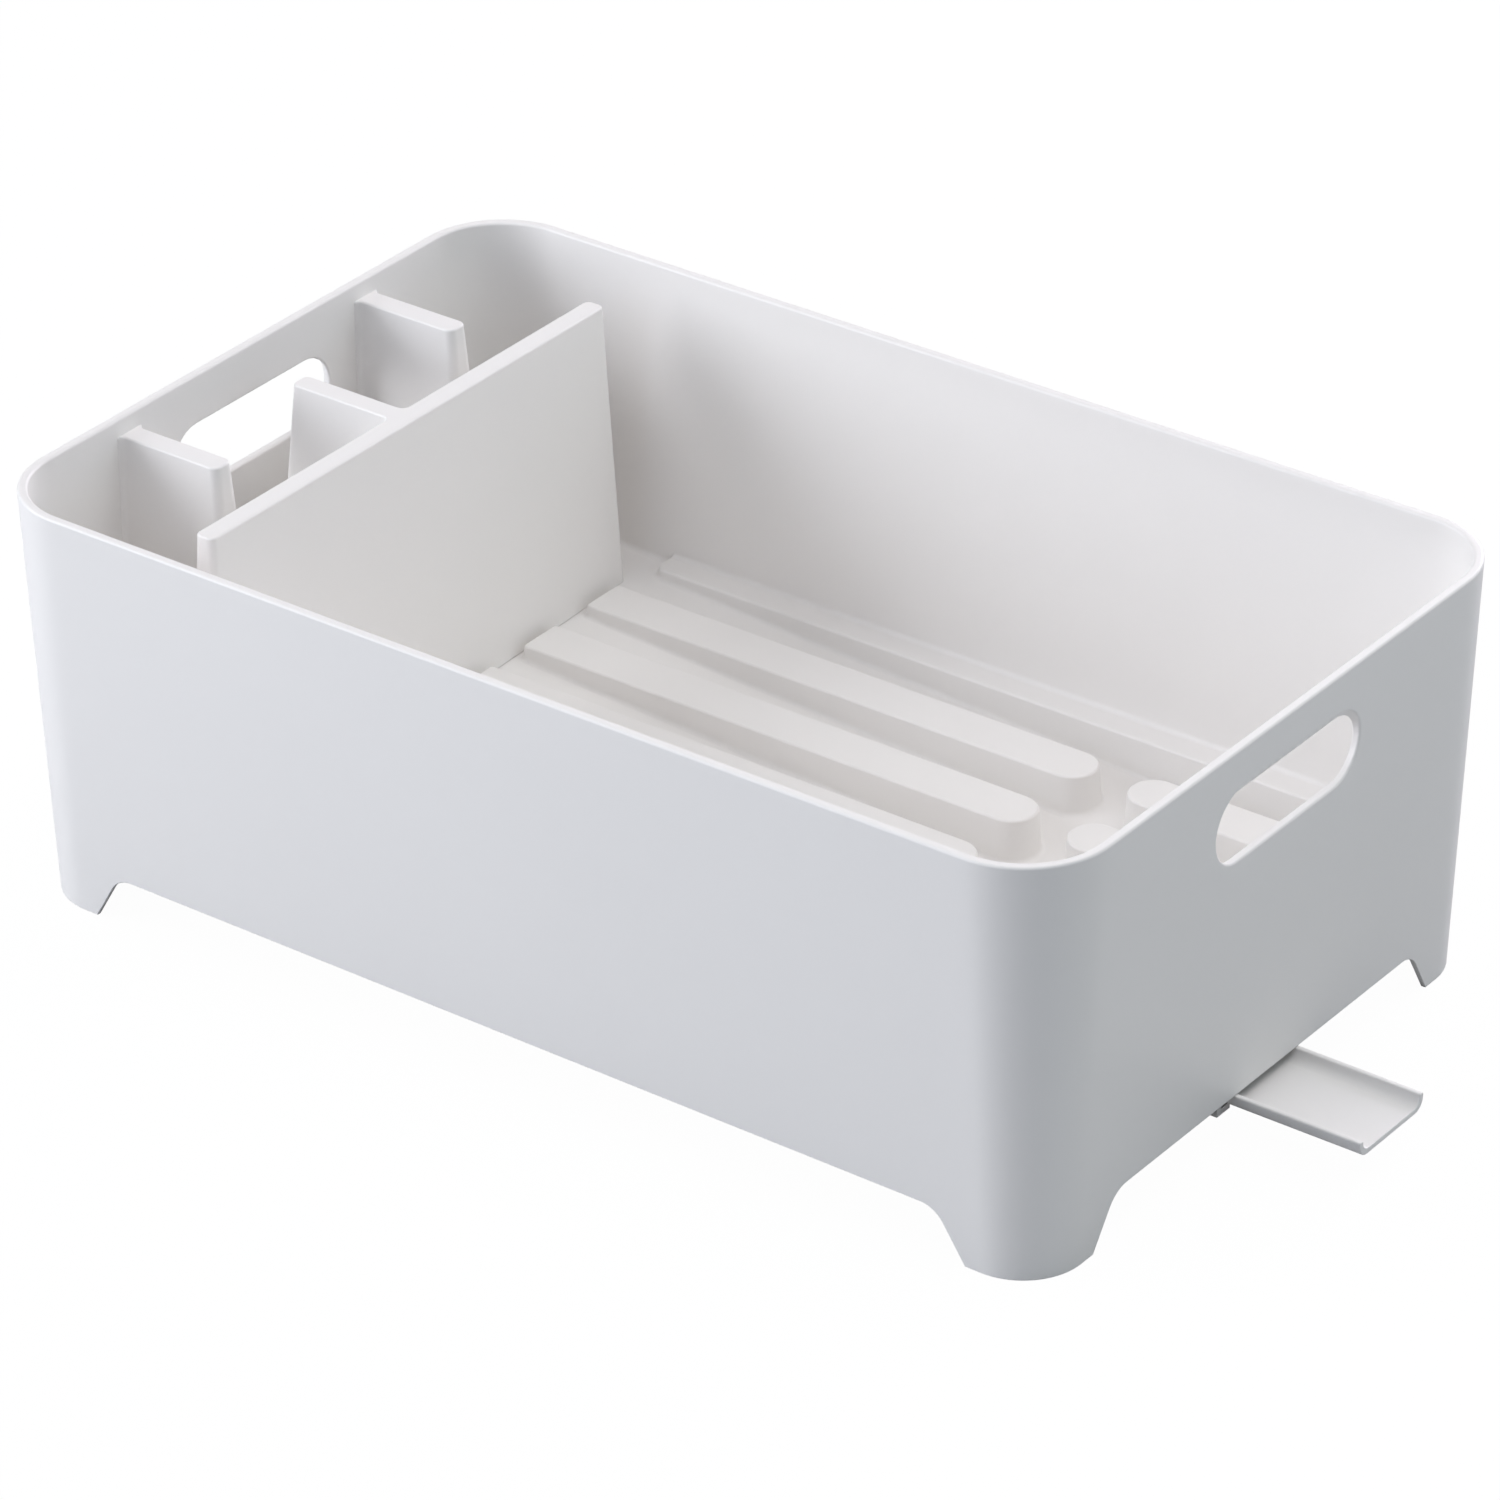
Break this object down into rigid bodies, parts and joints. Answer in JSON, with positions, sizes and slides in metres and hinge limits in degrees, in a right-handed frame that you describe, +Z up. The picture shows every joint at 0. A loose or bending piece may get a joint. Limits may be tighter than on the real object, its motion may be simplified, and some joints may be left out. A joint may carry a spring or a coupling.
{
  "type": "dish drying rack",
  "caption": "Deep plastic dish drying basket with a ribbed sloping floor, a lift-out utensil divider, hand holes in the end walls and a drain spout that slides out below.",
  "frame": {"origin": "middle of the overall length and width with the spout out, on the plane of the four feet", "axes": "+X along the basket towards the spout end, +Y to the back long wall, +Z up"},
  "size_m": [0.455, 0.2598, 0.149],
  "materials": {
    "basket_white": "satin",
    "divider_white": "satin",
    "spout_white": "satin"
  },
  "bodies": {
    "basket": {"basket": "basket_white"},
    "divider": {"utensil_divider": "divider_white"},
    "spout": {"drain_spout": "spout_white"}
  },
  "joints": [
    {"name": "divider_lift", "type": "slide", "parent": "basket", "child": "divider", "axis": [0, 0, 1], "range_m": [0, 0.116]},
    {"name": "spout_slide", "type": "slide", "parent": "basket", "child": "spout", "axis": [1, 0, 0], "range_m": [-0.046, 0]}
  ]
}
